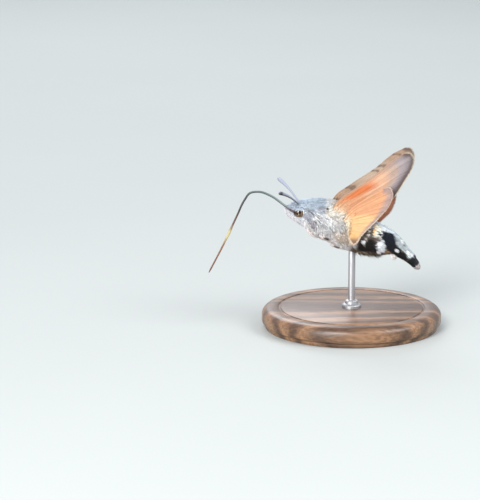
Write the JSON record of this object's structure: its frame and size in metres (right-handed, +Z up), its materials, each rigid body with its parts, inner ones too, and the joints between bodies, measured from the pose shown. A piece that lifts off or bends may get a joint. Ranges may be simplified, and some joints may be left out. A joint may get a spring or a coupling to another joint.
{
  "type": "hummingbird hawk moth",
  "caption": "Life-size hummingbird hawk moth hovering with raised wings and long bent proboscis, on a plain round stand with a short rod.",
  "frame": {"origin": "centre of the stand base's underside", "axes": "+Z up, -X the way the moth's head points, -Y the moth's left side; the XZ plane is the body's plane of symmetry"},
  "size_m": [0.0469, 0.036, 0.0364],
  "materials": {
    "body_coat": "matt blue-grey fur of fine scales, paler on the sides",
    "abdomen_coat": "matt fur of scales, dark brown to black with white and buff patches",
    "tail_scales": "matt black long scales with a pale end",
    "pale_coat": "matt white short fur",
    "antenna": "satin grey horn, darker at the club",
    "proboscis": "satin dark horn, browner towards the tip",
    "leg": "matt horn with close scales",
    "eye": "glossy brown facetted eye",
    "forewing": "matt scaled membrane, orange to pinkish grey with a brown margin",
    "hindwing": "matt scaled membrane, orange to yellow with a grey-pink margin",
    "stand_wood": "satin turned walnut",
    "stand_steel": "fine brushed steel rod"
  },
  "bodies": {
    "root": {"abdomen": "abdomen_coat", "antenna_left": "antenna", "antenna_right": "antenna", "eye_left": "eye", "eye_right": "eye", "forewing_left": "forewing", "forewing_right": "forewing", "head": "body_coat", "hindwing_left": "hindwing", "hindwing_right": "hindwing", "leg_front_left": "leg", "leg_front_right": "leg", "leg_hind_left": "leg", "leg_hind_right": "leg", "leg_middle_left": "leg", "leg_middle_right": "leg", "palp_left": "pale_coat", "palp_right": "pale_coat", "proboscis_base": "proboscis", "proboscis_bend": "proboscis", "proboscis_tip": "proboscis", "stand_base": "stand_wood", "stand_rod": "stand_steel", "tail_fan": "tail_scales", "thorax": "body_coat"}
  },
  "joints": []
}
